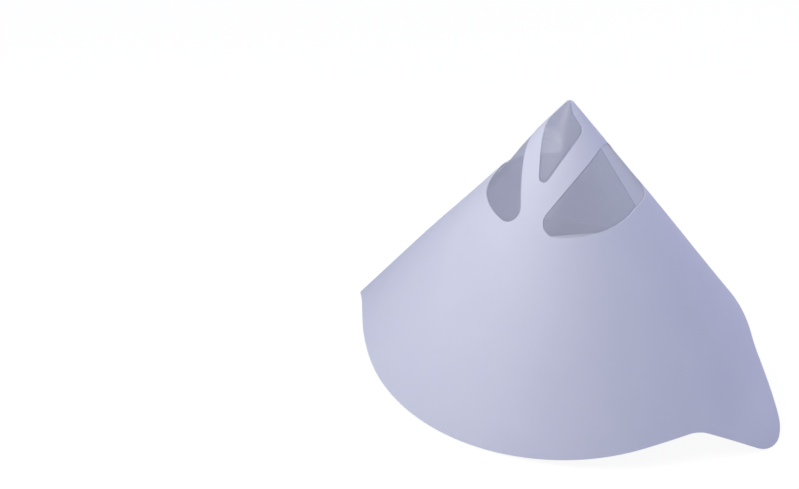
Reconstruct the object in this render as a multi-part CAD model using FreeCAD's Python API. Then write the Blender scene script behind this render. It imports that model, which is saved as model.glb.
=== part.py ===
"""Disposable cone strainer for paint: a die-cut card blank, folded once, glued once and opened
into a cone, with a fine nylon net glued inside over its windows.

The blank is drawn flat, as the die cuts it, and then wrapped round the cone. Flat drawing: the
origin is the cone's apex, +y runs down the middle of one panel to the lowest point of its lobe,
and +x runs towards the glued seam. The blank has two panels with the same outline, mirrored
about the fold, but not the same windows. The front panel has three, with card in the form of a Y
between them. The back panel is whole but for the ends of the front's two side windows, which run
on over the fold and the seam.

Standing part: +Z up, front panel towards -Y, glued seam towards +X, fold towards -X. The cone
stands mouth down on the tips of its two ears and on the lobe of the front panel. Origin: the
middle of the footprint, on the ground. Millimetres and degrees.
"""
import FreeCAD, Part
import math
import os

Vec = FreeCAD.Vector

# ---- card blank ------------------------------------------------------------------------------
card = 0.3                 # thickness of the card
panel_angle = 109.7        # angle at the apex between fold and seam, on the flat blank
opening = 38.8             # half angle of the round cone that each opened panel follows
lobe_depth = 110.3         # apex to the lowest point of a panel's lobe
lobe_radius = 105.2        # curve of the lobe's edge
wing_depth = 82.95         # depth of both wing edges, measured along the middle line,
wing_start = 77.0          # at this distance from it
fold_wing_slope = 6.3      # the wing edge at the fold rises outwards by this angle
fold_dip_gap = 5.1         # it meets the lobe's straight flank this far outside the lobe's circle
fold_dip_reach = 15.0      # and that hollow corner is rounded off from this far on each side
seam_wing_slope = 4.0      # the same at the seam
seam_dip_gap = 1.9
seam_dip_reach = 4.3
seam_ear_radius = 12.3     # rounded ear on the seam
tip_hole = 1.6             # the card stops this far short of the apex

# ---- windows ---------------------------------------------------------------------------------
centre_foot = 27.2         # apex to the lower end of the centre window
centre_foot_radius = 1.7
centre_spread = 17.6       # each side of the centre window leans out by this angle
centre_corner_radius = 2.3
seam_strip = 2.15          # width of the card strip beside the seam
seam_strip_taper = 4.3     # it narrows from this distance from the apex
seam_strip_end = 0.6       # to this width at the tip
stem_width = 8.9           # card between the two side windows at their narrowest
stem_depth = 36.0          # depth at which stem_width is measured
arm_spread = 21.65         # the upper edges of the side windows lean out by this angle
side_corner_radius = 4.4
side_curve_radius = 36.2   # curve of the lower edge of the side windows
side_curve_depth = 7.0     # depth of that curve's centre on the middle line
back_stem_width = 20.0     # back panel: card between the ends of the side windows
back_curve_radius = 26.4   # back panel: curve of the windows' ends
back_corner_radius = 1.5   # back panel: their lowest corner

# ---- glue flap and net -----------------------------------------------------------------------
flap_width = 9.0
flap_start = 52.0          # distance along the seam from the apex
flap_end = 112.0
flap_corner_radius = 3.0
net = 0.2                  # thickness of the woven nylon
net_reach = 47.0           # the net covers the cone to this distance from the apex
net_tip_radius = 1.2       # the net is blunt at the tip
glue = 0.05                # glue film between card and net

# ---- what follows from them ------------------------------------------------------------------
half_panel = math.radians(panel_angle / 2)
cone_half = math.radians(opening)
swing = half_panel / math.sin(cone_half)                       # half turn of a panel's round cone
lean = math.atan(math.tan(cone_half) * math.cos(swing))        # lean of that cone's axis
seam_line = Vec(math.sin(half_panel), math.cos(half_panel), 0)
reference = centre_foot            # distance from the apex at which the cone surfaces are based

# ---- how it is drawn -------------------------------------------------------------------------
past_fold = math.radians(1.5)      # a panel is drawn this far past fold and seam, then trimmed
past_ear = math.radians(6)         # the same for the ear
past_window = math.radians(12)     # and for windows, which reach past the panel
past_seam = 1.0                    # flap beyond the seam, where it runs into the other panel
point_spacing = 4.0                # spacing of the points that carry a flat line onto the cone
fewest_points = 7                  # and how many a short line has at least
foot_points = 400                  # points tried on each edge for what the cone stands on
foot_rounds = 6                    # times the resting plane is worked out


# ---- flat drawing ----------------------------------------------------------------------------
def ray(distance, angle):
    """Point at a distance from the apex, at an angle from the middle line."""
    return Vec(distance * math.sin(angle), distance * math.cos(angle), 0)


def meet(point, direction, other, other_direction):
    """Crossing of two straight lines."""
    cross = direction.x * other_direction.y - direction.y * other_direction.x
    gap = other - point
    return point + direction * ((gap.x * other_direction.y - gap.y * other_direction.x) / cross)


def arc(centre, radius, start, end):
    """Arc about a centre from one compass direction to another, directions as in ray()."""
    turns = [start, (start + end) / 2, end]
    return Part.Arc(*[centre + ray(radius, turn) for turn in turns]).toShape()


def compass(vector):
    return math.atan2(vector.x, vector.y)


def line(start, end):
    return Part.LineSegment(start, end).toShape()


def fillet(before, corner, after, radius):
    """Start, middle and end of the arc that rounds a corner between two straight lines."""
    back = (before - corner).normalize()
    ahead = (after - corner).normalize()
    half = back.getAngle(ahead) / 2
    reach = radius / math.tan(half)
    middle = corner + (back + ahead).normalize() * (radius / math.sin(half) - radius)
    return corner + back * reach, middle, corner + ahead * reach


def rounded(corners):
    """Closed outline through (point, radius) corners, each rounded by its radius."""
    edges = []
    count = len(corners)
    ends = []
    for i, (corner, radius) in enumerate(corners):
        if radius == 0:
            ends.append((corner, corner))
            continue
        arc_points = fillet(corners[i - 1][0], corner, corners[(i + 1) % count][0], radius)
        ends.append((arc_points[0], arc_points[2]))
        edges.append(Part.Arc(*arc_points).toShape())
    for i in range(count):
        edges.append(line(ends[i - 1][1], ends[i][0]))
    return edges


def lobe_centre():
    return Vec(0, lobe_depth - lobe_radius, 0)


def wing(slope):
    """Wing edge on the seam side: its direction outwards and the direction across it."""
    rise = math.radians(slope)
    return Vec(math.cos(rise), -math.sin(rise), 0), Vec(math.sin(rise), math.cos(rise), 0)


def dip(along, gap, reach):
    """Hollow corner between the lobe and a wing edge, on the seam side. A straight flank leaves
    the lobe's circle and meets the edge at a corner that lies a gap outside the circle. Returns
    the flank's start and its direction from the lobe's centre, and the corner's rounding."""
    centre = lobe_centre()
    start = Vec(wing_start, wing_depth, 0)
    nearest = start + along * (centre - start).dot(along)
    distance = lobe_radius + gap
    corner = nearest + along * math.sqrt(distance ** 2 - (nearest - centre).Length ** 2)
    turn = compass(corner - centre) - math.acos(lobe_radius / distance)
    on_lobe = centre + ray(lobe_radius, turn)
    radius = reach * math.tan((on_lobe - corner).getAngle(along) / 2)
    return on_lobe, turn, fillet(on_lobe, corner, corner + along, radius)


def rim():
    """The panel's outline, from just past the fold to just past the seam."""
    apex = Vec(0, 0, 0)
    start = Vec(wing_start, wing_depth, 0)
    # ear on the fold: the wing edge runs straight over it
    past = -half_panel - past_fold
    fold_along, fold_across = wing(fold_wing_slope)
    past_end = meet(mirror_x(start), mirror_x(fold_along), apex, ray(1, past))
    fold_lobe, fold_turn, fold_dip = dip(fold_along, fold_dip_gap, fold_dip_reach)
    fold_lobe, *fold_dip = [mirror_x(point) for point in (fold_lobe, *fold_dip)]
    # ear on the seam: a circle on the seam that touches the wing edge
    along, across = wing(seam_wing_slope)
    corner = meet(start, along, apex, seam_line)
    ear = corner - seam_line * (seam_ear_radius / math.sin(along.getAngle(seam_line)))
    ear_tip = half_panel + past_ear
    seam_end = ear + ray(seam_ear_radius, ear_tip)
    past_seam_line = compass(seam_end)
    seam_lobe, seam_turn, seam_dip = dip(along, seam_dip_gap, seam_dip_reach)
    return [
        line(ray(tip_hole, past), past_end),
        line(past_end, fold_dip[2]),
        Part.Arc(*fold_dip).toShape(),
        line(fold_dip[0], fold_lobe),
        arc(lobe_centre(), lobe_radius, -fold_turn, seam_turn),
        line(seam_lobe, seam_dip[0]),
        Part.Arc(*seam_dip).toShape(),
        line(seam_dip[2], ear + across * seam_ear_radius),
        arc(ear, seam_ear_radius, compass(across), ear_tip),
        line(seam_end, ray(tip_hole, past_seam_line)),
        arc(apex, tip_hole, past_seam_line, past),
    ]


def mirror_x(vector):
    return Vec(-vector.x, vector.y, vector.z)


def crossing(centre, radius, other, other_radius):
    """The crossing of two circles that lies nearer the panel's middle line."""
    gap = other - centre
    along = (radius ** 2 - other_radius ** 2 + gap.Length ** 2) / (2 * gap.Length)
    across = Vec(gap.y, -gap.x, 0).normalize() * math.sqrt(radius ** 2 - along ** 2)
    foot = centre + gap.normalize() * along
    return min(foot + across, foot - across, key=lambda point: point.x)


def centre_window():
    """Drop-shaped window. On the fold side it runs on over the fold, and on the seam side a
    narrow strip of card stays beside the seam up to the tip."""
    spread = math.radians(centre_spread)
    top = centre_foot - centre_foot_radius + centre_foot_radius / math.sin(spread)
    foot = Vec(0, top, 0)
    side = Vec(math.sin(spread), -math.cos(spread), 0)
    inward = Vec(-seam_line.y, seam_line.x, 0)
    wide = meet(foot, side, inward * seam_strip, seam_line)
    taper = seam_line * seam_strip_taper + inward * seam_strip
    near_tip = seam_line * tip_hole + inward * seam_strip_end
    beyond = meet(foot, mirror_x(side), Vec(0, 0, 0), ray(1, -half_panel - past_ear))
    return rounded([(foot, centre_foot_radius), (wide, centre_corner_radius), (taper, 0), (near_tip, 0),
                    (ray(tip_hole / 2, half_panel / 2), 0), (ray(tip_hole / 2, -half_panel), 0),
                    (beyond, 0)])


def side_curve():
    """Centre of the lower edge of the side windows."""
    return Vec(0, side_curve_depth, 0)


def arm_edge():
    """Lower edge of the right arm of the Y: its lower end, and its direction towards the apex."""
    spread = math.radians(arm_spread)
    return Vec(stem_width / 2, stem_depth, 0), Vec(math.sin(spread), -math.cos(spread), 0)


def side_window():
    """Front panel's side window, which runs on over the seam, and mirrored over the fold."""
    far = half_panel + past_window
    start, up = arm_edge()
    right = Vec(-up.y, up.x, 0)
    centre = side_curve()
    # rounded corner: a circle that touches the upper edge and the inside of the lower curve
    base = start + right * side_corner_radius
    foot = base + up * (centre - base).dot(up)
    reach = math.sqrt((side_curve_radius - side_corner_radius) ** 2 - (foot - centre).Length ** 2)
    corner = foot - up * reach
    on_curve = compass(corner - centre)
    top = meet(start, up, Vec(0, 0, 0), ray(1, far))
    low = centre + ray(side_curve_radius, far)
    return [
        line(corner - right * side_corner_radius, top),
        line(top, low),
        arc(centre, side_curve_radius, far, on_curve),
        arc(corner, side_corner_radius, on_curve, compass(-right)),
    ]


def window_end():
    """Back panel's end of the side window beyond the seam, and mirrored beyond the fold."""
    far = half_panel + past_window
    at_seam = meet(*arm_edge(), Vec(0, 0, 0), seam_line)
    across = back_stem_width / 2 + back_curve_radius
    rise = math.sqrt(back_curve_radius ** 2 - (across - at_seam.x) ** 2)
    end = Vec(across, at_seam.y + rise, 0)
    centre = side_curve()
    corner = crossing(end, back_curve_radius - back_corner_radius,
                      centre, side_curve_radius - back_corner_radius)
    on_end = compass(corner - end)
    on_curve = compass(corner - centre)
    past_seam_line = compass(at_seam - end) - past_window
    low = centre + ray(side_curve_radius, far)
    return [
        line(low, end + ray(back_curve_radius, past_seam_line)),
        arc(end, back_curve_radius, past_seam_line, on_end),
        arc(corner, back_corner_radius, on_end, on_curve),
        arc(centre, side_curve_radius, on_curve, far),
    ]


def flap_outline():
    """Glue flap of the other panel, inside this one along the seam."""
    inward = Vec(-seam_line.y, seam_line.x, 0)
    past = inward * -past_seam
    edge = inward * flap_width
    return rounded([(seam_line * flap_start + past, 0), (seam_line * flap_end + past, 0),
                    (seam_line * (flap_end - flap_width) + edge, flap_corner_radius),
                    (seam_line * (flap_start + flap_width) + edge, flap_corner_radius)])


# ---- wrapping the flat drawing round the cone ------------------------------------------------
def cone_surface(depth):
    """The panel's round cone, upright, at a depth below the card's outer face."""
    radius = reference * math.sin(cone_half) - depth * math.cos(cone_half)
    base = Vec(0, 0, -reference * math.cos(cone_half) - depth * math.sin(cone_half))
    return Part.Cone(base, base - Vec(0, 0, 1), radius, radius + math.tan(cone_half))


def on_cone(point):
    """Flat point -> angle round the cone (the panel's middle faces -Y) and distance along it."""
    return FreeCAD.Base.Vector2d(math.pi - compass(point) / math.sin(cone_half),
                                 point.Length - reference)


def wrap(flat, outer_depth, inner_depth):
    """Solid between two depths whose outline is that of a flat face laid on the cone."""
    surfaces = [cone_surface(outer_depth), cone_surface(inner_depth)]
    loops = [[], []]
    sides = []
    for edge in flat.OuterWire.OrderedEdges:
        count = fewest_points + math.ceil(edge.Length / point_spacing)
        points = [on_cone(point) for point in edge.discretize(count)]
        curve = Part.Geom2d.BSplineCurve2d()
        curve.interpolate(Points=points, Parameters=list(range(len(points))))
        pair = [curve.toShape(surface) for surface in surfaces]
        loops[0].append(pair[0])
        loops[1].append(pair[1])
        sides.append(Part.makeRuledSurface(*pair))
    skins = [Part.Face(surface, Part.Wire(Part.__sortEdges__(loop)))
             for surface, loop in zip(surfaces, loops)]
    for skin in skins:
        skin.validate()
    shell = Part.makeShell(skins + sides)
    shell.sewShape()
    solid = Part.makeSolid(shell)
    if solid.Volume < 0:
        solid.reverse()
    return solid


# ---- the two pieces --------------------------------------------------------------------------
def lean_back(solid):
    """Upright round cone -> the opened cone, where the folds lie in the plane Y = 0."""
    return solid.rotated(Vec(0, 0, 0), Vec(1, 0, 0), math.degrees(lean))


def front_half(solid):
    """What lies on the front panel's side of the folds."""
    size = 4 * (lobe_depth + wing_start)
    block = Part.makeBox(size, size, size, Vec(-size / 2, -size, -size / 2))
    return solid.common(block)


def to_back(half):
    return half.mirror(Vec(0, 0, 0), Vec(0, 1, 0))


def flat_face(edges):
    return Part.Face(Part.Wire(Part.__sortEdges__(edges)))


def mirrored(face):
    return face.mirror(Vec(0, 0, 0), Vec(1, 0, 0))


def card_panel(windows):
    """Half of the cone: the panel's outline less its windows, wrapped and trimmed at the folds."""
    blank = flat_face(rim()).cut(windows)
    panel = max(blank.Faces, key=lambda face: face.Area)
    return front_half(lean_back(wrap(panel, 0, card)))


def card_cone():
    side = flat_face(side_window())
    front = card_panel([flat_face(centre_window()), side, mirrored(side)])
    end = flat_face(window_end())
    back = to_back(card_panel([end, mirrored(end)]))
    flap = lean_back(wrap(flat_face(flap_outline()), card, 2 * card))
    with_flap = back.fuse(flap).removeSplitter()
    return with_flap.fuse(front).removeSplitter()


def net_skin(depth, tip_radius):
    """Section of one skin of the net: lower end, start, middle and end of its tip arc."""
    apex = -depth / math.sin(cone_half)
    centre = Vec(0, 0, apex - tip_radius / math.sin(cone_half))
    reach = net_reach - depth / math.tan(cone_half)
    low = Vec(reach * math.sin(cone_half), 0, apex - reach * math.cos(cone_half))
    quarter = math.radians(90) - cone_half
    touch, middle = [centre + Vec(math.sin(turn), 0, math.cos(turn)) * tip_radius
                     for turn in (quarter, quarter / 2)]
    return low, touch, middle, centre + Vec(0, 0, tip_radius)


def net_cone():
    """Thin cone with a blunt tip, under the card."""
    outside = net_skin(card + glue, net_tip_radius)
    inside = net_skin(card + glue + net, net_tip_radius - net)
    section = [line(outside[0], outside[1]), Part.Arc(*outside[1:]).toShape(),
               line(outside[3], inside[3]), Part.Arc(*inside[1:]).toShape(),
               line(inside[1], inside[0]), line(inside[0], outside[0])]
    face = flat_face(section)
    turn = math.degrees(swing + past_fold)
    face.rotate(Vec(0, 0, 0), Vec(0, 0, 1), -90 - turn)
    skin = face.revolve(Vec(0, 0, 0), Vec(0, 0, 1), 2 * turn)
    half = front_half(lean_back(skin))
    return half.fuse(to_back(half)).removeSplitter()


# ---- standing ------------------------------------------------------------------------------
def in_space(point):
    """Flat point -> its place on the inner face of the opened cone."""
    place = on_cone(point)
    upright = cone_surface(card).value(place.x, place.y)
    return FreeCAD.Rotation(Vec(1, 0, 0), math.degrees(lean)).multVec(upright)


def standing():
    """Turn that stands the cone on its two ears and on the lobe of its front panel."""
    outline = rim()
    fold_wing, lobe, seam_ear = outline[1], outline[4], outline[8]
    samples = [[in_space(point) for point in edge.discretize(foot_points)]
               for edge in (fold_wing, lobe, seam_ear)]
    samples = [[point for point in points if point.y <= 0] for points in samples]
    up = Vec(0, 0, 1)
    for _ in range(foot_rounds):
        feet = [min(points, key=lambda point: point.dot(up)) for points in samples]
        up = (feet[1] - feet[0]).cross(feet[2] - feet[0]).normalize()
        if up.z < 0:
            up = -up
    return FreeCAD.Rotation(up, Vec(0, 0, 1))


def main():
    pieces = {"card_cone": card_cone(), "nylon_net": net_cone()}
    turn = FreeCAD.Placement(Vec(0, 0, 0), standing())
    pieces = {name: shape.Solids[0].transformed(turn.toMatrix()) for name, shape in pieces.items()}
    box = pieces["card_cone"].optimalBoundingBox(False, False)
    ground = Vec(-box.Center.x, -box.Center.y, -box.ZMin)
    os.makedirs("parts", exist_ok=True)
    for name, shape in pieces.items():
        shape.translate(ground)
        shape.exportStep("parts/" + name + ".step")
        print(name, "valid", shape.isValid(), "volume", round(shape.Volume, 1))
    print("width, depth, height", [round(size, 1) for size in (box.XLength, box.YLength, box.ZLength)])


main()
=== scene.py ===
# %% [markdown]
# # A cone paint strainer
#
# A disposable strainer for paint is a die-cut card blank, folded once and glued once, so that it
# opens into a cone. A fine nylon net is glued inside over the windows at the tip. This lesson
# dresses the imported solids: it wraps a finely meshed blank round the same cone, lays a woven net
# inside it, and gives both their finish under a plain soft light.

# %% Load the frame
import math
import bpy
import numpy as np
from mathutils import Matrix, Vector
from mathutils.geometry import delaunay_2d_cdt


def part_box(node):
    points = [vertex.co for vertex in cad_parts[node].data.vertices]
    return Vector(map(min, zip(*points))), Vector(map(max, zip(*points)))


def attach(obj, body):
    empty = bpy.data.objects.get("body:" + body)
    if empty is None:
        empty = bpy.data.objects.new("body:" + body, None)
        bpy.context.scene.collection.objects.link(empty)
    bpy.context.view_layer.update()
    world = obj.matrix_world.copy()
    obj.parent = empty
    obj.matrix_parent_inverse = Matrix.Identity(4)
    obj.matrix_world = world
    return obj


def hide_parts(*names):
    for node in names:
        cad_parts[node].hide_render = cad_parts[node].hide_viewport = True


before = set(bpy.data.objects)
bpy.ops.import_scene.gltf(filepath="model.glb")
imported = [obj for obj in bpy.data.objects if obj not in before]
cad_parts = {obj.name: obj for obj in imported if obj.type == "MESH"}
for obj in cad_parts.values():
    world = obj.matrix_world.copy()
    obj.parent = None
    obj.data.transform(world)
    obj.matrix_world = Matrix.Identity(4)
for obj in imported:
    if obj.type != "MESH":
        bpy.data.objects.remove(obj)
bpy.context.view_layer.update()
mm = 0.001

# %% [markdown]
# ## The flat blank
#
# Real card is cut flat, so the shape is drawn flat too. Each flat point is one complex number:
# its length is the distance from the cone's apex in millimetres, and its angle is measured from
# the middle line of its panel, positive towards the glued seam. A circle is then a centre plus a
# radius times e to the i angle, and a mirror image is a conjugate. The sizes are those of the
# card's solid.

# %% Sizes of the blank, in millimetres
card = 0.3                          # thickness
half_panel = math.radians(54.85)    # angle from a panel's middle line to its fold or seam
opening = math.radians(38.8)        # half angle of the round cone that each panel follows
tip_hole = 1.6                      # distance from the apex at which the card starts
seam = np.exp(1j * half_panel)      # direction of the seam, and its conjugate is the fold's
inward = -1j * seam                 # direction from the seam into the panel

lobe_depth = 110.3                  # from the apex to the rim, on the middle line
lobe_radius = 105.2
wing_start = 82.95 + 77j            # a point on both straight wing edges
fold_wing_slope = math.radians(6.3)
fold_dip_gap = 5.1                  # how far the hollow corner lies outside the lobe's circle
fold_dip_reach = 15.0               # how far from that corner its rounding starts
seam_wing_slope = math.radians(4)
seam_dip_gap = 1.9
seam_dip_reach = 4.3
seam_ear_radius = 12.3

spacing = 1.1                       # between neighbouring points of the mesh
print("card", card, "mm, blank", round(math.degrees(4 * half_panel), 1), "degrees round the apex")


# %% Lines and arcs
def line(start, end):
    """Evenly spaced points from start to end, without the end."""
    count = max(1, round(abs(end - start) / spacing))
    return start + (end - start) * np.arange(count) / count


def arc(centre, radius, start, end):
    """Points centre + radius * e to the i angle, with the angle running from start to end."""
    count = max(3, round(abs(end - start) * radius / spacing))
    return centre + radius * np.exp(1j * (start + (end - start) * np.arange(count) / count))


def along(vector, direction):
    """How far a vector reaches along a direction of length one."""
    return (vector * np.conj(direction)).real


def meet(point, direction, other, other_direction):
    """Crossing of two straight lines: the point plus the share of its direction at which the
    other line's sideways distance is zero."""
    share = ((other - point) * np.conj(other_direction)).imag
    return point + direction * share / (direction * np.conj(other_direction)).imag


# %% [markdown]
# ### Windows
#
# The front panel has three windows, with card in the form of a Y between them. The centre one is
# a drop with its wide end at the tip: it runs on over the fold, and leaves a narrow strip beside
# the seam. The two side windows run on over the fold and the seam, where the back panel has only
# their rounded ends. Each window is drawn as a closed loop that may reach past the panel.

# %% Sizes of the windows, in millimetres
centre_foot = 27.2                  # lower end of the centre window, on the middle line
centre_foot_radius = 1.7
centre_spread = math.radians(17.6)  # from the middle line to each side of the drop
centre_corner_radius = 2.3
seam_strip = 2.15                   # width of the strip that the centre window leaves
seam_strip_taper = 4.3              # nearer than this to the apex the strip gets narrower,
seam_strip_end = 0.6                # down to this at the tip hole
stem_width = 8.9                    # of the Y
stem_depth = 36.0                   # where its arms leave it
arm_spread = math.radians(21.65)
side_corner_radius = 4.4
side_curve_radius = 36.2            # lower edge of a side window,
side_curve = 7.0                    # and the centre of its circle, on the middle line
back_stem_width = 20.0
back_curve_radius = 26.4
back_corner_radius = 1.5
past_panel = math.radians(12)       # the loops reach this far past fold and seam

# %% Lines that several windows share
foot = centre_foot - centre_foot_radius + centre_foot_radius / math.sin(centre_spread)
arm_start = stem_depth + 0.5j * stem_width
arm = -np.exp(-1j * arm_spread)     # direction of the arm's edge, up towards the seam
arm_at_seam = meet(arm_start, arm, 0, seam)
far = half_panel + past_panel
curve_end = side_curve + side_curve_radius * np.exp(1j * far)
print("the Y's arm meets the seam", round(abs(arm_at_seam), 1), "mm from the apex")


# %% Windows as loops
def rounded(corners):
    """Closed loop through (corner, radius) pairs. A rounded corner is the arc of a circle that
    touches both sides: its centre lies at radius / sin(half the corner's angle)."""
    loop = []
    points = [corner for corner, radius in corners]
    for i, (corner, radius) in enumerate(corners):
        before, after = points[i - 1], points[(i + 1) % len(points)]
        to_before = (before - corner) / abs(before - corner)
        to_after = (after - corner) / abs(after - corner)
        if radius == 0:
            loop.append(("line", corner, corner))
            continue
        half = abs(np.angle(to_after / to_before)) / 2
        bisector = (to_before + to_after) / abs(to_before + to_after)
        centre = corner + bisector * radius / math.sin(half)
        first = corner + to_before * radius / math.tan(half)
        last = corner + to_after * radius / math.tan(half)
        start = np.angle(first - centre)
        end = start + np.angle((last - centre) / (first - centre))
        loop.append(("arc", first, last, centre, radius, start, end))
    pieces = []
    for i, part in enumerate(loop):
        pieces.append(line(loop[i - 1][2], part[1]))
        if part[0] == "arc":
            pieces.append(arc(*part[3:]))
    return np.concatenate(pieces)


def centre_window():
    """A drop whose two straight sides leave its foot at the spread angle. One side ends at the
    strip beside the seam and follows it to the tip, and the other runs on over the fold. The
    loop closes inside the tip hole."""
    side = -np.exp(-1j * centre_spread)
    wide = meet(foot, side, inward * seam_strip, seam)
    taper = seam * seam_strip_taper + inward * seam_strip
    near_tip = seam * tip_hole + inward * seam_strip_end
    past_fold = np.exp(-1j * (half_panel + past_panel / 2))
    beyond = meet(foot, np.conj(side), 0, past_fold)
    return rounded([(foot, centre_foot_radius), (wide, centre_corner_radius), (taper, 0),
                    (near_tip, 0), (tip_hole / 2, 0), (tip_hole / 2 * past_fold, 0), (beyond, 0)])


def side_window():
    """Its corner at the stem is a circle that touches the straight arm of the Y and the inside of
    the lower edge's circle: its centre lies a corner radius beside the arm, and the difference of
    both radii away from the lower edge's centre."""
    right = -1j * arm
    base = arm_start + right * side_corner_radius
    nearest = base + arm * along(side_curve - base, arm)
    reach = math.sqrt((side_curve_radius - side_corner_radius) ** 2 - abs(nearest - side_curve) ** 2)
    corner = nearest - arm * reach
    on_curve = np.angle(corner - side_curve)
    top = meet(arm_start, arm, 0, np.exp(1j * far))
    return np.concatenate([
        line(corner - right * side_corner_radius, top),
        line(top, curve_end),
        arc(side_curve, side_curve_radius, far, on_curve),
        arc(corner, side_corner_radius, on_curve, np.angle(-right)),
    ])


def window_end():
    """End of the side window on the back panel: an arc that starts where the arm of the Y meets
    the seam, a small corner, and the same lower edge as in front. The corner's centre has known
    distances from the centres of both circles, which gives how far along and how far off the
    line between them it lies."""
    across = back_stem_width / 2 + back_curve_radius
    rise = math.sqrt(back_curve_radius ** 2 - (across - arm_at_seam.imag) ** 2)
    end = arm_at_seam.real + rise + 1j * across
    between = side_curve - end
    to_end = back_curve_radius - back_corner_radius
    to_curve = side_curve_radius - back_corner_radius
    part = (to_end ** 2 - to_curve ** 2 + abs(between) ** 2) / (2 * abs(between))
    corner = end + between / abs(between) * (part + 1j * math.sqrt(to_end ** 2 - part ** 2))
    on_end = np.angle(corner - end)
    on_curve = np.angle(corner - side_curve)
    past = np.angle(arm_at_seam - end) - past_panel
    start = end + back_curve_radius * np.exp(1j * past)
    return np.concatenate([
        line(curve_end, start),
        arc(end, back_curve_radius, past, on_end),
        arc(corner, back_corner_radius, on_end, on_curve),
        arc(side_curve, side_curve_radius, on_curve, far),
    ])


front_windows = [centre_window(), side_window(), np.conj(side_window())]
back_windows = [window_end(), np.conj(window_end())]
print("points round each window", [len(loop) for loop in front_windows + back_windows])

# %% [markdown]
# ### Outline of a panel
#
# Both panels have the same outline: a wide lobe, a hollow corner on each side of it, and a wing
# that ends in a pointed ear at the fold and in a rounded ear at the seam. A hollow corner could
# be drawn by eye, but here it follows from two sizes: a straight flank leaves the lobe's circle
# and meets the straight wing edge at a set gap from that circle, and a circle that touches both
# rounds the corner. The outline has a point wherever a window crosses a fold, so that the two
# panels can be joined point to point.


# %% The outline
def folded_edge(direction, end):
    """Points along a fold, from the tip hole to its end, with one at each window's edge: where
    the drop's side, the Y's arm and the lower edge's circle cross it."""
    drop = abs(meet(foot, -np.exp(1j * centre_spread), 0, np.conj(seam)))
    low = along(side_curve, seam) + math.sqrt(side_curve_radius ** 2
                                              - (side_curve * math.sin(half_panel)) ** 2)
    stops = [tip_hole, drop, abs(arm_at_seam), low, end]
    return np.concatenate([line(direction * a, direction * b) for a, b in zip(stops, stops[1:])])


def dip(edge, gap, reach):
    """Points from the lobe's circle to the wing edge, on the seam's side. A straight flank leaves
    the circle and meets the edge at a corner a gap outside the circle. The corner is rounded by
    the circle that touches flank and edge a reach away from it. Returns the flank's start too,
    as an angle about the lobe's centre."""
    lobe = lobe_depth - lobe_radius
    distance = lobe_radius + gap
    nearest = wing_start + edge * along(lobe - wing_start, edge)
    corner = nearest + edge * math.sqrt(distance ** 2 - abs(nearest - lobe) ** 2)
    turn = np.angle(corner - lobe) - math.acos(lobe_radius / distance)
    on_lobe = lobe + lobe_radius * np.exp(1j * turn)
    flank = (on_lobe - corner) / abs(on_lobe - corner)
    half = abs(np.angle(edge / flank)) / 2
    centre = corner + (flank + edge) / abs(flank + edge) * reach / math.cos(half)
    first, last = corner + flank * reach, corner + edge * reach
    start = np.angle(first - centre)
    end = start + np.angle((last - centre) / (first - centre))
    return turn, np.concatenate([line(on_lobe, first),
                                 arc(centre, reach * math.tan(half), start, end), [last]])


def rim():
    """Closed outline of a panel, from the tip down the fold, round the rim and up the seam. The
    rounded ear is a circle that touches the wing edge and has its centre on the seam, at
    radius / sin(angle between them) from the point where they meet."""
    lobe = lobe_depth - lobe_radius
    fold_edge, edge = 1j * np.exp(1j * fold_wing_slope), 1j * np.exp(1j * seam_wing_slope)
    fold_turn, fold_side = dip(fold_edge, fold_dip_gap, fold_dip_reach)
    turn, seam_side = dip(edge, seam_dip_gap, seam_dip_reach)
    wedge = np.angle(edge / seam)
    ear = meet(wing_start, edge, 0, seam) - seam * seam_ear_radius / math.sin(wedge)
    ear_end = abs(ear) + seam_ear_radius
    fold_ear = np.conj(meet(wing_start, fold_edge, 0, seam))
    return np.concatenate([
        folded_edge(np.conj(seam), abs(fold_ear)),
        line(fold_ear, np.conj(fold_side[-1])),
        np.conj(fold_side[:0:-1]),
        arc(lobe, lobe_radius, -fold_turn, turn),
        seam_side[:-1],
        line(seam_side[-1], ear - 1j * edge * seam_ear_radius),
        arc(ear, seam_ear_radius, seam_wing_slope, half_panel),
        np.append(folded_edge(seam, ear_end), seam * ear_end)[:0:-1],
        arc(0, tip_hole, half_panel, -half_panel),
    ])


outline = rim()
print("outline points", len(outline), "ear at the fold, mm from the apex", abs(outline).max())

# %% [markdown]
# ### From outline to triangles
#
# The card is bent, so its mesh needs points all over, not only along its cuts. A honeycomb of
# points fills the panel, and a Delaunay triangulation joins them to the points along the outline
# and the windows. Triangles whose middle lies in a window or outside the outline are dropped.


# %% Triangulate a flat shape
def inside(points, loop):
    """True where a point lies inside a closed loop: a line drawn from it to one side crosses the
    loop an odd number of times."""
    start = loop[None, :]
    end = np.roll(loop, -1)[None, :]
    point = points[:, None]
    straddles = (start.imag > point.imag) != (end.imag > point.imag)
    rise = np.where(straddles, end.imag - start.imag, 1)
    crossing = start.real + (point.imag - start.imag) / rise * (end.real - start.real)
    return (straddles & (point.real < crossing)).sum(axis=1) % 2 == 1


def distance_to(points, loop):
    """Distance from each point to the nearest place on a closed loop's edges. The nearest place on
    an edge lies at the share (offset along the edge / edge length), kept between 0 and 1."""
    start = loop[None, :]
    side = (np.roll(loop, -1) - loop)[None, :]
    offset = points[:, None] - start
    share = np.clip((offset * np.conj(side)).real / abs(side) ** 2, 0, 1)
    return abs(offset - share * side).min(axis=1)


def honeycomb(reach, pitch):
    """Points in rows a pitch times sqrt(3) / 2 apart, every other row shifted by half a pitch."""
    row, column = np.meshgrid(np.arange(-reach, reach, pitch * math.sqrt(3) / 2),
                              np.arange(-reach, reach, pitch), indexing="ij")
    shift = (np.arange(len(row)) % 2)[:, None] * pitch / 2
    return (row + 1j * (column + shift)).ravel()


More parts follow.
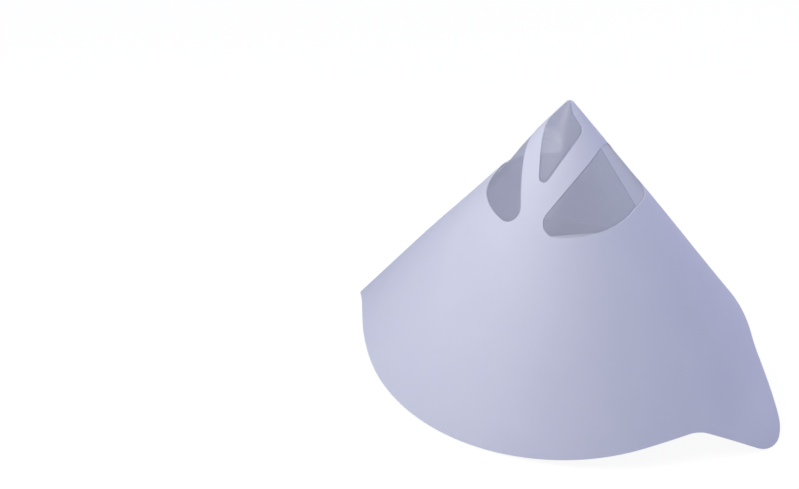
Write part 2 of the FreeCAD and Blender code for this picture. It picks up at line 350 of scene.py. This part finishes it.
def flat_mesh(border, windows):
    """Flat points and triangles of a panel between its border and its windows. Lattice points
    nearer than half a spacing to a cut are left out, so that no triangle is a sliver."""
    loops = [border] + windows
    lattice = honeycomb(abs(border).max(), spacing)
    lattice = lattice[inside(lattice, border)]
    for loop in loops:
        lattice = lattice[distance_to(lattice, loop) > spacing / 2]
    for loop in windows:
        lattice = lattice[~inside(lattice, loop)]
    starts = np.cumsum([0] + [len(loop) for loop in loops])
    edges = np.concatenate([np.c_[np.arange(len(loop)), np.roll(np.arange(len(loop)), -1)] + start
                            for loop, start in zip(loops, starts)])
    points = np.concatenate(loops + [lattice])
    one_point = 1e-4                # points nearer than this count as one
    found = delaunay_2d_cdt(np.c_[points.real, points.imag].tolist(), edges.tolist(), [], 0,
                            one_point)
    places = np.array([tuple(place) for place in found[0]])
    points = places[:, 0] + 1j * places[:, 1]
    triangles = np.array(found[2])
    middle = points[triangles].mean(axis=1)
    kept = inside(middle, border)
    for loop in windows:
        kept &= ~inside(middle, loop)
    used, triangles = np.unique(triangles[kept], return_inverse=True)
    return points[used], triangles.reshape(-1, 3)


front_flat = flat_mesh(outline, front_windows)
back_flat = flat_mesh(outline, back_windows)
print("flat triangles, front and back", len(front_flat[1]), len(back_flat[1]))

# %% [markdown]
# ## Wrapping the blank round the cone
#
# An opened panel follows a round cone. Lengths along the card don't change, so a flat point keeps
# its distance from the apex, and its angle grows by 1 / sin(opening) on the way round. The round
# cone of each panel leans a little, so that the fold and the seam of both panels meet in the
# plane between them.

# %% Flat point to cone
swing = half_panel / math.sin(opening)
lean = math.atan(math.tan(opening) * math.cos(swing))
front, back = -1, 1                 # side of the plane y = 0 on which a panel lies


def leaned(upright, side):
    """Upright round cone -> its panel of the opened cone: a turn by the lean about the x axis.
    The back panel is a mirror image."""
    x, y, z = upright.T
    return np.stack([x, -side * (y * math.cos(lean) - z * math.sin(lean)),
                     y * math.sin(lean) + z * math.cos(lean)], axis=-1)


def on_cone(flat, depth, side):
    """Place of a flat point at a depth below the card's outer face, with the apex at the origin:
    distance * ruling - depth * outward, where the ruling is the straight line from the apex
    through the point and outward is at right angles to it."""
    turn = np.angle(flat) / math.sin(opening)
    ruling = np.stack([math.sin(opening) * np.sin(turn), -math.sin(opening) * np.cos(turn),
                       np.full(turn.shape, -math.cos(opening))], axis=-1)
    outward = np.stack([math.cos(opening) * np.sin(turn), -math.cos(opening) * np.cos(turn),
                        np.full(turn.shape, math.sin(opening))], axis=-1)
    return leaned(abs(flat)[:, None] * ruling - depth[:, None] * outward, side)


print("half turn of a panel", round(math.degrees(swing), 1), "lean", round(math.degrees(lean), 1))

# %% [markdown]
# ## The card piece
#
# The outer skin is the two flat meshes laid on the cone and joined along the fold and the seam.
# The inner skin lies the card's thickness below it, and every free edge gets a wall between the
# skins. Each corner of each triangle keeps its place on the unfolded blank, in metres, as its
# texture coordinate: the front panel turns one way from the fold and the back panel the other.
#
# Folded card never stands quite true. The fold is dented in a little round the windows, and the
# back panel is pressed in behind the seam. Both could be sculpted, but products of smooth ramps
# say exactly how deep each dent is and where.

# %% Dents at the fold and behind the seam
fold_dent = 1.05                    # greatest depth of the dent in the fold, in mm
fold_dent_grows = (13, 34)          # it grows between these distances from the apex, in mm,
fold_dent_fades = (42, 92)          # fades again between these,
fold_dent_width = math.radians(26)  # and fades out this far round the panel from the fold
seam_dent = 0.95                    # the same for the dent behind the seam
seam_dent_grows = (45, 106)
seam_dent_fades = (112, 130)
# it fades out between two angles from the seam, quickly in front and slowly on the back panel
seam_dent_in_front = (0, math.radians(12))
seam_dent_behind = (math.radians(25), math.radians(70))


def smooth(start, end, value):
    """0 before start, 1 past end, and 3 t^2 - 2 t^3 between them, where t is the share of the way
    from start to end."""
    share = np.clip((value - start) / (end - start), 0, 1)
    return share * share * (3 - 2 * share)


def dented(flat, side):
    """How far a flat point is pushed towards +x, in mm: the fold's dent less the seam's. Each is
    its depth times a ramp that rises and a ramp that falls with the distance from the apex, and
    a ramp that falls with the angle from its edge."""
    reach = abs(flat)
    from_fold, from_seam = half_panel + np.angle(flat), half_panel - np.angle(flat)
    at_fold = smooth(*fold_dent_grows, reach) * (1 - smooth(*fold_dent_fades, reach))
    at_fold *= 1 - smooth(0, fold_dent_width, from_fold)
    round_seam = seam_dent_in_front if side == front else seam_dent_behind
    at_seam = smooth(*seam_dent_grows, reach) * (1 - smooth(*seam_dent_fades, reach))
    at_seam *= 1 - smooth(*round_seam, from_seam)
    return fold_dent * at_fold - seam_dent * at_seam


print("deepest dents, mm:", fold_dent, "in the fold,", seam_dent, "behind the seam")

# %% Skins, walls and texture places
weld = 0.01                         # points nearer than this are one, in mm


def on_fold(flat):
    """True for the flat points on the fold or the seam."""
    return abs(abs(np.angle(flat)) - half_panel) * abs(flat) < weld


def skin(flat, depth, side):
    """Places of a panel's points at one depth, with the folds exactly in the plane y = 0."""
    places = on_cone(flat, np.full(len(flat), depth), side)
    places[:, 1] = side * np.maximum(side * places[:, 1], 0)
    places[on_fold(flat), 1] = 0
    places[:, 0] += dented(flat, side)
    return places


def unfolded(flat, side):
    """Place of a panel's flat point on the unfolded blank, in metres, with the fold at angle 0."""
    return abs(flat) * np.exp(-1j * side * (np.angle(flat) + half_panel)) * mm


def turned_out(flat, triangles, side):
    """Triangles whose corners run anticlockwise as seen from outside the cone: the sign of
    (conjugate of the first side * second side) says which way they run on the flat panel."""
    corners = flat[triangles]
    area = ((corners[:, 1] - corners[:, 0]).conj() * (corners[:, 2] - corners[:, 0])).imag
    wrong = (area > 0) == (side == back)
    triangles = triangles.copy()
    triangles[wrong] = triangles[wrong][:, ::-1]
    return triangles


def free_edges(triangles):
    """Directed edges of triangles that have no neighbour on their other side."""
    edges = np.concatenate([triangles[:, [0, 1]], triangles[:, [1, 2]], triangles[:, [2, 0]]])
    size = triangles.max() + 1
    keys, twins = edges[:, 0] * size + edges[:, 1], edges[:, 1] * size + edges[:, 0]
    return edges[~np.isin(keys, twins)]


def welded(places):
    """Numbers of the places to keep, and for each place the number of the kept one that stands
    for it. Places are one where all three coordinates round to the same multiple of weld."""
    grid = np.round(places / weld).astype(np.int64)
    grid, kept, joined = np.unique(grid, axis=0, return_index=True, return_inverse=True)
    return kept, joined.reshape(-1)


def closed_sheet(panels, top, bottom):
    """Vertices, triangles, texture places of the corners, and a mark on the walls, of a sheet
    between two depths. panels lists (flat points, triangles, side). The upper skin's faces come
    first, then the lower skin's with their corners turned round, then two wall triangles for
    each free edge."""
    upper = np.concatenate([skin(flat, top, side) for flat, triangles, side in panels])
    lower = np.concatenate([skin(flat, bottom, side) for flat, triangles, side in panels])
    starts = np.cumsum([0] + [len(flat) for flat, triangles, side in panels])
    faces = np.concatenate([turned_out(flat, triangles, side) + start
                            for (flat, triangles, side), start in zip(panels, starts)])
    places = np.concatenate([unfolded(flat, side) for flat, triangles, side in panels])[faces]
    kept, joined = welded(upper)
    upper, lower, faces = upper[kept], lower[kept], joined[faces]
    count = len(upper)
    edge = free_edges(faces)
    walls = np.concatenate([np.c_[edge[:, 1], edge[:, 0], edge[:, 0] + count],
                            np.c_[edge[:, 1], edge[:, 0] + count, edge[:, 1] + count]])
    corner_place = np.zeros(count, complex)
    corner_place[faces] = places
    wall_places = corner_place[walls % count]
    vertices = np.concatenate([upper, lower])
    triangles = np.concatenate([faces, faces[:, ::-1] + count, walls])
    uv = np.concatenate([places, places[:, ::-1], wall_places])
    is_wall = np.arange(len(triangles)) >= 2 * len(faces)
    return vertices, triangles, uv, is_wall


# %% [markdown]
# ## Standing on the table
#
# The cone rests on three places of its rim: the ear at the fold, the lobe of the front panel and
# the ear at the seam. The plane through the three lowest points is made level, and the lowest
# points are looked for again until they stay the same.

# %% Turn and shift of the standing cone
ears_from = 0.8                     # an ear lies past this share of the way to fold or seam,
lobe_until = 0.5                    # and the lobe within this share of it on both sides
rounds = 6                          # more than enough for the three points to stay the same


def standing():
    """Direction at right angles to the plane through the three feet. It starts as straight up,
    and each round takes the lowest rim point of each part along it, and works it out again."""
    part_way = np.angle(outline) / half_panel
    rim_parts = [part_way < -ears_from, abs(part_way) < lobe_until, part_way > ears_from]
    low = on_cone(outline, np.full(len(outline), card), front)
    low = [low[part & (low[:, 1] <= 0)] for part in rim_parts]
    up = np.array([0.0, 0.0, 1.0])
    for attempt in range(rounds):
        feet = [places[np.argmin(places @ up)] for places in low]
        up = np.cross(feet[1] - feet[0], feet[2] - feet[0])
        up *= np.sign(up[2]) / np.linalg.norm(up)
    return up


levelling = np.array(Vector(standing()).rotation_difference(Vector((0, 0, 1))).to_matrix())
cone = closed_sheet([(*front_flat, front), (*back_flat, back)], 0, card)
cone_at = cone[0] @ levelling.T
cad_low, cad_high = [np.array(corner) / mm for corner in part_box("card_cone")]
shift = cad_low - cone_at.min(axis=0)
print("size against the solid's, mm", np.ptp(cone_at, axis=0) - (cad_high - cad_low))

# %% From arrays to an object
sharp = math.radians(40)            # an edge that turns more than this looks sharp


def mesh_object(name, vertices, triangles, uv, cut=None):
    """Object at the origin whose vertices hold the standing places in metres. cut marks the
    triangles on the cut edges."""
    mesh = bpy.data.meshes.new(name)
    standing_at = (vertices @ levelling.T + shift) * mm
    mesh.from_pydata(standing_at.tolist(), [], triangles.tolist())
    layer = mesh.uv_layers.new(name="blank")
    layer.uv.foreach_set("vector", np.c_[uv.real.ravel(), uv.imag.ravel()].ravel())
    mesh.polygons.foreach_set("use_smooth", np.ones(len(triangles), bool))
    if cut is not None:
        mark = mesh.attributes.new("cut_edge", "FLOAT", "FACE")
        mark.data.foreach_set("value", cut.astype(np.float32))
    mesh.validate()
    mesh.set_sharp_from_angle(angle=sharp)
    made = bpy.data.objects.new(name, mesh)
    bpy.context.scene.collection.objects.link(made)
    return made


# %% The glue flap and the card object
flap_width = 9.0
flap_start = 52.0                   # along the seam, from the apex
flap_end = 112.0
flap_corner_radius = 3.0
flap_top = 0.9 * card               # a little inside the panel's thickness, so that no gap is left
flap_loop = rounded([(seam * flap_start, 0), (seam * flap_end, 0),
                     (seam * (flap_end - flap_width) + inward * flap_width, flap_corner_radius),
                     (seam * (flap_start + flap_width) + inward * flap_width, flap_corner_radius)])
flap = closed_sheet([(*flat_mesh(flap_loop, []), front)], flap_top, 2 * card)
sheets = [cone, flap]
starts = np.cumsum([0] + [len(sheet[0]) for sheet in sheets])
faces = [sheet[1] + start for sheet, start in zip(sheets, starts)]
vertices, uv, is_wall = [np.concatenate([sheet[i] for sheet in sheets]) for i in (0, 2, 3)]
card_piece = mesh_object("folded_card", vertices, np.concatenate(faces), uv, is_wall)
print("card triangles", len(card_piece.data.polygons), "of them on cut edges", is_wall.sum())

# %% [markdown]
# ## The net piece
#
# The net is one fabric skin under the windows. Thousands of modelled threads would be heavy and
# would flicker from afar, so it is a smooth surface, and its weave comes from the material. Its
# profile is a straight ruling with a blunt tip, turned about the axis of each panel's cone.
# Between the glued places it is stretched so that it comes up into the windows, nearly level with
# the card's outer face. Only at the fold, over the dent, does it hang in a little just above the
# lower edge of the side windows.

# %% Sizes of the net, in millimetres
net_depth = card + 0.1              # under the card, the glue and half the net's own thickness
net_reach = 47.0
net_tip_radius = 1.1
net_tip_rings = 4                   # rows of faces between the tip and the start of the ruling
net_step = 0.55
bulge = 0.28                        # how far the net comes up into a window
border_start = -0.8                 # it starts this far outside the window's edge
border_end = 0.8                    # and is full this far inside
sag = 0.35                          # how far the net hangs in at the fold instead,
sag_grows = (26, 36)                # growing between these distances from the apex
side_window_start = 10              # only the centre window comes nearer to the apex than this


# %% Shape of the net
def lifted(flat, windows):
    """How far the net comes up at flat points: the bulge times a ramp across each window's edge.
    In a side window that runs over the fold, the bulge turns into the sag near the fold."""
    lift = np.zeros(flat.size)
    for loop in windows:
        sign = np.where(inside(flat, loop), 1, -1)
        far_in = sign * distance_to(flat, loop)
        height = bulge
        if abs(loop).min() > side_window_start and np.angle(loop).min() < -half_panel:
            at_fold = 1 - smooth(0, fold_dent_width, np.angle(flat) + half_panel)
            height = bulge - (bulge + sag) * smooth(*sag_grows, abs(flat)) * at_fold
        lift += height * smooth(border_start, border_end, far_in)
    return lift


def blunt_tip(angle, side):
    """Places of the tip's rings, and each ring's radius. A ring lies radius * cos(cap) above the
    tip arc's centre and radius * sin(cap) off the axis, where cap runs from 0 at the tip to the
    ruling's tilt."""
    cap = np.linspace(0, math.pi / 2 - opening, net_tip_rings, endpoint=False)
    turns = angle / math.sin(opening)
    centre = -(net_depth + net_tip_radius) / math.sin(opening)
    ring = net_tip_radius * np.sin(cap)[:, None]
    upright = np.stack([ring * np.sin(turns), -ring * np.cos(turns),
                        centre + net_tip_radius * np.cos(cap)[:, None] + 0 * turns], axis=-1)
    return leaned(upright.reshape(-1, 3), side).reshape(*upright.shape), ring


def net_panel(windows, side):
    """Grid of places from the tip down (rows) and from fold to seam (columns), its triangles and
    its places on the blank. The tip is an arc, and the rest is on the cone."""
    columns = round(2 * half_panel * net_reach / net_step)
    angle = np.linspace(-half_panel, half_panel, columns + 1)
    start = (net_depth + net_tip_radius) / math.tan(opening)
    distance = np.linspace(start, net_reach, round((net_reach - start) / net_step) + 1)
    flat = distance[:, None] * np.exp(1j * angle)[None, :]
    ruled = on_cone(flat.ravel(), net_depth - lifted(flat.ravel(), windows), side)
    ruled[:, 0] += dented(flat.ravel(), side)
    tip, ring = blunt_tip(angle, side)
    places = np.concatenate([tip, ruled.reshape(*flat.shape, 3)])
    places[..., 1] = side * np.maximum(side * places[..., 1], 0)
    places[:, [0, -1], 1] = 0
    # at the tip the ring's radius is 0, and a hair more keeps each column's direction
    blank = np.concatenate([(ring + weld) * np.exp(1j * angle), flat])
    index = np.arange(blank.size).reshape(blank.shape)
    here, below = index[:-1, :-1], index[1:, :-1]
    across, beside = index[1:, 1:], index[:-1, 1:]
    triangles = np.concatenate([np.stack([here, below, across], -1).reshape(-1, 3),
                                np.stack([here, across, beside], -1).reshape(-1, 3)])
    return places.reshape(-1, 3), triangles, blank.ravel()


# %% The net object
net_parts = []
for windows, side in ((front_windows, front), (back_windows, back)):
    places, triangles, blank = net_panel(windows, side)
    triangles = turned_out(blank, triangles, side)
    net_parts.append((places, triangles, unfolded(blank, side)[triangles]))
net_places = np.concatenate([part[0] for part in net_parts])
net_faces = np.concatenate([net_parts[0][1], net_parts[1][1] + len(net_parts[0][0])])
net_uv = np.concatenate([part[2] for part in net_parts])
kept, joined = welded(net_places)
net_faces = joined[net_faces]
# at the very tip a ring is one point, and the faces that have shrunk to a line there are dropped
whole = ((net_faces[:, 0] != net_faces[:, 1]) & (net_faces[:, 1] != net_faces[:, 2])
         & (net_faces[:, 2] != net_faces[:, 0]))
net_piece = mesh_object("nylon_mesh", net_places[kept], net_faces[whole], net_uv[whole])
print("net triangles", len(net_piece.data.polygons))

# %% [markdown]
# ## Materials
#
# A material is a small tree of nodes. One helper adds a node, fills its sockets and links it, so
# that each finish reads from top to bottom like a recipe.


# %% Node helper
def colour(code):
    """Hex sRGB to the linear colour that sockets take: value / 12.92 near black, and
    ((value + 0.055) / 1.055) to the power 2.4 above."""
    part = [int(code[i:i + 2], 16) / 255 for i in (1, 3, 5)]
    return [x / 12.92 if x <= 0.04045 else ((x + 0.055) / 1.055) ** 2.4 for x in part] + [1]


def node(tree, kind, inputs=(), **settings):
    """Adds a node. inputs maps a socket's name or number to a value or to another node's output,
    and settings are the node's own attributes."""
    made = tree.nodes.new("ShaderNode" + kind)
    for name, value in settings.items():
        setattr(made, name, value)
    for socket, value in dict(inputs).items():
        if isinstance(value, bpy.types.NodeSocket):
            tree.links.new(value, made.inputs[socket])
        else:
            made.inputs[socket].default_value = value
    return made


def material(name):
    """A new material and its empty tree of nodes."""
    made = bpy.data.materials.new(name)
    made.use_nodes = True
    made.node_tree.nodes.clear()
    return made, made.node_tree


# %% [markdown]
# ### Bleached card
#
# The blank is uncoated white card, pressed between rollers and cut with a steel rule. It could be
# one flat colour, but real pulp is slightly cloudy and its surface is a felt of short fibres. The
# eye gets a matt, nearly even white: two close shades in soft clouds, a grain that only just
# breaks up the light, a cut edge painted paler than the faces to lighten the shade on its thin
# walls, and a little of the light from the other side, because the card is only a third of a
# millimetre thick.

# %% Bleached card
cloud_size = 50 / 3                 # of the pulp's clouds, in mm
fibre_width = 0.4                   # of a tuft of fibres, in mm: a single one is too fine to show
fibre_height = 0.05
light_through = 0.12                # share of the light that comes from behind

card_material, tree = material("bleached_card")
place = node(tree, "TexCoord").outputs["Object"]
cloud = node(tree, "TexNoise", {"Vector": place, "Scale": 1 / (cloud_size * mm), "Detail": 3.0})
shade = node(tree, "Mix", {0: cloud.outputs["Fac"], 6: colour("#DBDDF0"), 7: colour("#E3E5F4")},
             data_type="RGBA")
# painted light: the cut edges are paler than the faces, to lighten the shade on their thin walls
cut = node(tree, "Attribute", attribute_name="cut_edge")
shade = node(tree, "Mix", {0: cut.outputs["Fac"], 6: shade.outputs[2], 7: colour("#EAEBF4")},
             data_type="RGBA")
# uncoated board is rough, and its fibres barely show
fibre = node(tree, "TexNoise", {"Vector": place, "Scale": 1 / (fibre_width * mm), "Detail": 4.0})
bump = node(tree, "Bump", {"Strength": 0.15, "Distance": fibre_height * mm,
                           "Height": fibre.outputs["Fac"]})
matt = node(tree, "BsdfPrincipled", {"Base Color": shade.outputs[2], "Roughness": 0.7,
                                     "Normal": bump.outputs["Normal"]})
shine_through = node(tree, "BsdfTranslucent", {"Color": shade.outputs[2]})
thin = node(tree, "MixShader", {0: light_through, 1: matt.outputs[0], 2: shine_through.outputs[0]})
node(tree, "OutputMaterial", {"Surface": thin.outputs[0]})
card_piece.data.materials.append(card_material)
print("bleached card:", len(tree.nodes), "nodes")

# %% [markdown]
# ### Woven nylon
#
# The net is woven from round, slightly shiny nylon threads that let some light through. Two
# square waves across the unfolded blank draw them, one for each direction, and what lies between
# them is a hole. Following the blank keeps every thread the same width all round the cone, which
# a pattern in space wouldn't. The eye gets a grey veil through which the far wall shows. It is
# painted paler and closer as painted light towards the seam and the fold, where the net is seen
# at a slant, and in a band at the lower edge of the side window by the seam. It is closer where
# the net lies double at its seam, and that seam is painted darker as the shade of its crease.

# %% Threads
pitch = 0.28 * mm                   # thread spacing of a common net with 190 micron holes
thread_share = 0.46                 # of the pitch, above the real 0.32 to match the net's veil

net_material, tree = material("woven_nylon")
place = node(tree, "UVMap", uv_map="blank").outputs["UV"]
apart = node(tree, "SeparateXYZ", {0: place})
waves = []
for axis in (0, 1):
    turns = node(tree, "Math", {0: apart.outputs[axis], 1: 1 / pitch}, operation="MULTIPLY")
    part = node(tree, "Math", {0: turns.outputs[0]}, operation="FRACT")
    waves.append(node(tree, "Math", {0: part.outputs[0], 1: thread_share}, operation="LESS_THAN"))
thread = node(tree, "Math", {0: waves[0].outputs[0], 1: waves[1].outputs[0]}, operation="MAXIMUM")
print("threads to a centimetre", round(10 * mm / pitch))

# %% Places of the painted light band, the net's seam and its lap
# painted light: a band at the lower edge of the side window by the seam is paler and closer, for the
# lit floor seen through the net there
light_band_angle = math.radians(23.7) + half_panel    # the band starts at a straight line, which lies
light_band_reach = 41.6 * mm                          # this far from the apex in this direction
seam_line = 0.15 * mm               # half the width of the net's own seam
seam_fade = 0.9                     # sine of the angle from the seam at which the painted brightening has faded
fold_fade = 0.3                     # and of the angle from the fold where it has faded too

past = node(tree, "VectorMath", {0: place, 1: (math.cos(light_band_angle), math.sin(light_band_angle), 0)},
            operation="DOT_PRODUCT")
light_band = node(tree, "Math", {0: past.outputs["Value"], 1: light_band_reach}, operation="GREATER_THAN")

# distance from the seam's line: x * sin(a) - |y| * cos(a), with a the angle from fold to seam
width = node(tree, "Math", {0: apart.outputs[1]}, operation="ABSOLUTE")
by_x = node(tree, "Math", {0: apart.outputs[0], 1: math.sin(2 * half_panel)},
            operation="MULTIPLY")
by_y = node(tree, "Math", {0: width.outputs[0], 1: math.cos(2 * half_panel)},
            operation="MULTIPLY")
off_seam = node(tree, "Math", {0: by_x.outputs[0], 1: by_y.outputs[0]}, operation="SUBTRACT")
near = node(tree, "Math", {0: off_seam.outputs[0], 1: 0, 2: seam_line}, operation="COMPARE")

# a distance from an edge over the distance from the apex is the sine of the angle between them
reach = node(tree, "VectorMath", {0: place}, operation="LENGTH")
shares = []
for distance, fade in ((off_seam, seam_fade), (width, fold_fade)):
    sine = node(tree, "Math", {0: distance.outputs[0], 1: reach.outputs["Value"]},
                operation="DIVIDE")
    shares.append(node(tree, "MapRange", {0: sine.outputs[0], 1: 0, 2: fade, 3: 1, 4: 0},
                       interpolation_type="SMOOTHSTEP"))
by_seam, by_fold = shares
# painted light: the net is paler and closer towards the seam and the fold, where it is seen at a
# slant
painted_side_light = node(tree, "Math", {0: by_seam.outputs[0], 1: by_fold.outputs[0]}, operation="MAXIMUM")

# the lap: on the back panel's side of the seam the net lies double, and its closer weave spreads
# wide from there as painted light
behind = node(tree, "Math", {0: apart.outputs[1], 1: 0}, operation="LESS_THAN")
lap_and_painted_light = node(tree, "Math", {0: behind.outputs[0], 1: by_seam.outputs[0]}, operation="MULTIPLY")
# the printed angle is where the painted brightening at the fold has faded out
print("the weave is even again", round(math.degrees(math.asin(fold_fade))), "degrees from the fold")

# %% How much of the holes is filled
band_fill = 0.6                     # by the painted light band at the lower edge,
side_light_fill = 0.4                    # by the painted brightening towards the seam and the fold,
lap_and_light_fill = 1.0                      # by the second layer in the lap, and by the painted light beside it,
tip_fill = 0.6                      # and at the tip, where the weave is drawn together:
tip_from, tip_full = 32 * mm, 2 * mm    # there it grows between these distances from the apex

solid = near
for share, fill in ((light_band, band_fill), (painted_side_light, side_light_fill), (lap_and_painted_light, lap_and_light_fill)):
    filled = node(tree, "Math", {0: share.outputs[0], 1: fill}, operation="MULTIPLY")
    solid = node(tree, "Math", {0: solid.outputs[0], 1: filled.outputs[0]}, operation="MAXIMUM")
tip = node(tree, "MapRange", {0: reach.outputs["Value"], 1: tip_from, 2: tip_full, 3: 0,
                              4: tip_fill})
solid = node(tree, "Math", {0: solid.outputs[0], 1: tip.outputs[0]}, operation="MAXIMUM")
cover = node(tree, "Math", {0: thread.outputs[0], 1: solid.outputs[0]}, operation="MAXIMUM")
print("open share of the plain weave", round((1 - thread_share) ** 2, 2))

# %% Nylon
thread_light = 0.2                  # share of the light that comes through a thread from behind

# plain threads; paler ones as painted light towards the seam, the fold and the band, and a darker
# line of painted shade at the seam
painted_brightening = node(tree, "Math", {0: painted_side_light.outputs[0], 1: light_band.outputs[0]}, operation="MAXIMUM")
tone = node(tree, "Mix", {0: painted_brightening.outputs[0], 6: colour("#BEC1D7"), 7: colour("#E0E3F1")},
            data_type="RGBA")
# painted shade: the net's seam is darker, for the shade in its crease
tone = node(tree, "Mix", {0: near.outputs[0], 6: tone.outputs[2], 7: colour("#B0B2C4")},
            data_type="RGBA")
# nylon is smoother than card, and keeps a soft shine
nylon = node(tree, "BsdfPrincipled", {"Base Color": tone.outputs[2], "Roughness": 0.4})
through = node(tree, "BsdfTranslucent", {"Color": tone.outputs[2]})
threads = node(tree, "MixShader", {0: thread_light, 1: nylon.outputs[0], 2: through.outputs[0]})
hole = node(tree, "BsdfTransparent")
cloth = node(tree, "MixShader", {0: cover.outputs[0], 1: hole.outputs[0], 2: threads.outputs[0]})
node(tree, "OutputMaterial", {"Surface": cloth.outputs[0]})
net_piece.data.materials.append(net_material)
print("woven nylon:", len(tree.nodes), "nodes")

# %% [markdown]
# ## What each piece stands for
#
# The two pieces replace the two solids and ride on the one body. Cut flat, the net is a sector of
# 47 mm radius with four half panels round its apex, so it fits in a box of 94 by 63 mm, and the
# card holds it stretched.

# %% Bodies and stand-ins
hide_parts("card_cone")
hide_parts("nylon_net")
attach(card_piece, "root")
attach(net_piece, "root")
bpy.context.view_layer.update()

# %% [markdown]
# ## Floor, light and camera
#
# The strainer stands on white paper under two soft lamps and a pale blue sky. Paper bright enough
# to look white would throw too much light back up at the cone, so the floor answers each kind of
# ray by itself: a grey diffuse paper for the light that reaches the object, and a nearly white
# glow for the camera, with just enough diffuse white in it to keep the soft shadow.

# %% Floor and backdrop
floor_half = 4                      # half the floor's side, in metres
shade_edge = (0.15, 0.19)           # metres from the middle, where the shade gives way to open floor
glow_strength = 0.93                # 1 is white, and the diffuse part makes up the rest

scene = bpy.context.scene
floor_mesh = bpy.data.meshes.new("floor")
corners = [(x * floor_half, y * floor_half, 0) for x, y in ((-1, -1), (1, -1), (1, 1), (-1, 1))]
floor_mesh.from_pydata(corners, [], [(0, 1, 2, 3)])
floor = bpy.data.objects.new("floor", floor_mesh)
scene.collection.objects.link(floor)
floor_material, tree = material("white_floor")
path = node(tree, "LightPath")

# light that reaches the object off the floor
paper = node(tree, "BsdfDiffuse", {"Color": colour("#9A9AA4")})

# floor behind the net: a glow, with painted shade under the cone and painted light on the open floor
# beyond it
place = node(tree, "TexCoord").outputs["Object"]
distance = node(tree, "VectorMath", {0: place}, operation="LENGTH")
open_floor = node(tree, "MapRange", {0: distance.outputs["Value"], 1: shade_edge[0],
                                     2: shade_edge[1]})
shaded = node(tree, "Mix", {0: open_floor.outputs[0], 6: colour("#484854"),
                            7: colour("#DEDEE6")}, data_type="RGBA")
pale = node(tree, "Emission", {"Color": shaded.outputs[2], "Strength": 1.0})

# floor seen past the object
faint = node(tree, "BsdfDiffuse", {"Color": (0.12, 0.12, 0.12, 1)})
glow = node(tree, "Emission", {"Color": (1, 1, 1, 1), "Strength": glow_strength})
white = node(tree, "AddShader", {0: glow.outputs[0], 1: faint.outputs[0]})

# a ray that hasn't passed a hole yet has a transparent depth of 0
first = node(tree, "Math", {0: path.outputs["Transparent Depth"], 1: 0.5}, operation="LESS_THAN")
backdrop = node(tree, "MixShader", {0: first.outputs[0], 1: pale.outputs[0], 2: white.outputs[0]})
seen = node(tree, "MixShader", {0: path.outputs["Is Camera Ray"], 1: paper.outputs[0],
                                2: backdrop.outputs[0]})
node(tree, "OutputMaterial", {"Surface": seen.outputs[0]})
floor_mesh.materials.append(floor_material)
print("floor", 2 * floor_half, "m square")

# %% World
world = bpy.data.worlds.new("studio")
scene.world = world
world.use_nodes = True
tree = world.node_tree
tree.nodes.clear()
path = node(tree, "LightPath")
# the sky that lights the object is pale blue, and what is seen or mirrored of it is white
soft = node(tree, "Background", {"Color": (0.59, 0.65, 1.04, 1), "Strength": 0.355})
white = node(tree, "Background", {"Color": (1, 1, 1, 1), "Strength": 1.0})
direct = node(tree, "Math", {0: path.outputs["Is Camera Ray"], 1: path.outputs["Is Glossy Ray"]},
              operation="MAXIMUM")
direct = node(tree, "Math", {0: direct.outputs[0], 1: path.outputs["Is Transmission Ray"]},
              operation="MAXIMUM")
both = node(tree, "MixShader", {0: direct.outputs[0], 1: soft.outputs[0], 2: white.outputs[0]})
node(tree, "OutputWorld", {"Surface": both.outputs[0]})
print("world:", len(tree.nodes), "nodes")


# %% Lamps
def soft_light(name, place, target, size, power, tint):
    """Square area light at a place, aimed at a target. size is its side in metres, and power is
    in watts."""
    lamp = bpy.data.lights.new(name, "AREA")
    lamp.size = size
    lamp.energy = power
    lamp.color = tint
    made = bpy.data.objects.new(name, lamp)
    made.location = place
    made.rotation_euler = (Vector(target) - Vector(place)).to_track_quat("-Z", "Y").to_euler()
    scene.collection.objects.link(made)
    return made


# The key is a warm lamp in front, above the fold's side, and gives the card its slow shading from
# left to right. The other stands high behind and lights the far wall that shows through the net.
half_way_up = (0, 0, 0.05)
soft_light("key", (-0.112, -0.3, 0.345), half_way_up, 0.25, 1.36, (1, 0.99, 0.88))
soft_light("behind", (0.54, 1.02, 1.39), half_way_up, 0.5, 10.5, (0.95, 0.94, 1))
print("lamps", [lamp.name for lamp in bpy.data.lights])

# %% Camera
# It stands in front and to the right, higher than the tip, and looks down along look with
# camera_up upwards in the frame. The shift moves the cone to the right of the frame.
camera_place = (0.147408, -0.337518, 0.18796)
look = Vector((-0.36055, 0.84775, -0.38899))
camera_up = Vector((-0.29594, 0.29153, 0.90963))

lens = bpy.data.cameras.new("camera")
lens.sensor_width = 36
lens.lens = 52.336
lens.shift_x = -0.21464
lens.shift_y = 0.05069
lens.clip_start = 0.01
camera = bpy.data.objects.new("camera", lens)
scene.collection.objects.link(camera)
scene.camera = camera
axes = Matrix((look.cross(camera_up), camera_up, -look)).transposed()
camera.matrix_world = Matrix.Translation(camera_place) @ axes.to_4x4()
scene.view_settings.view_transform = "Standard"
print("camera", round(Vector(camera_place).length / mm), "mm from the middle of the floor")
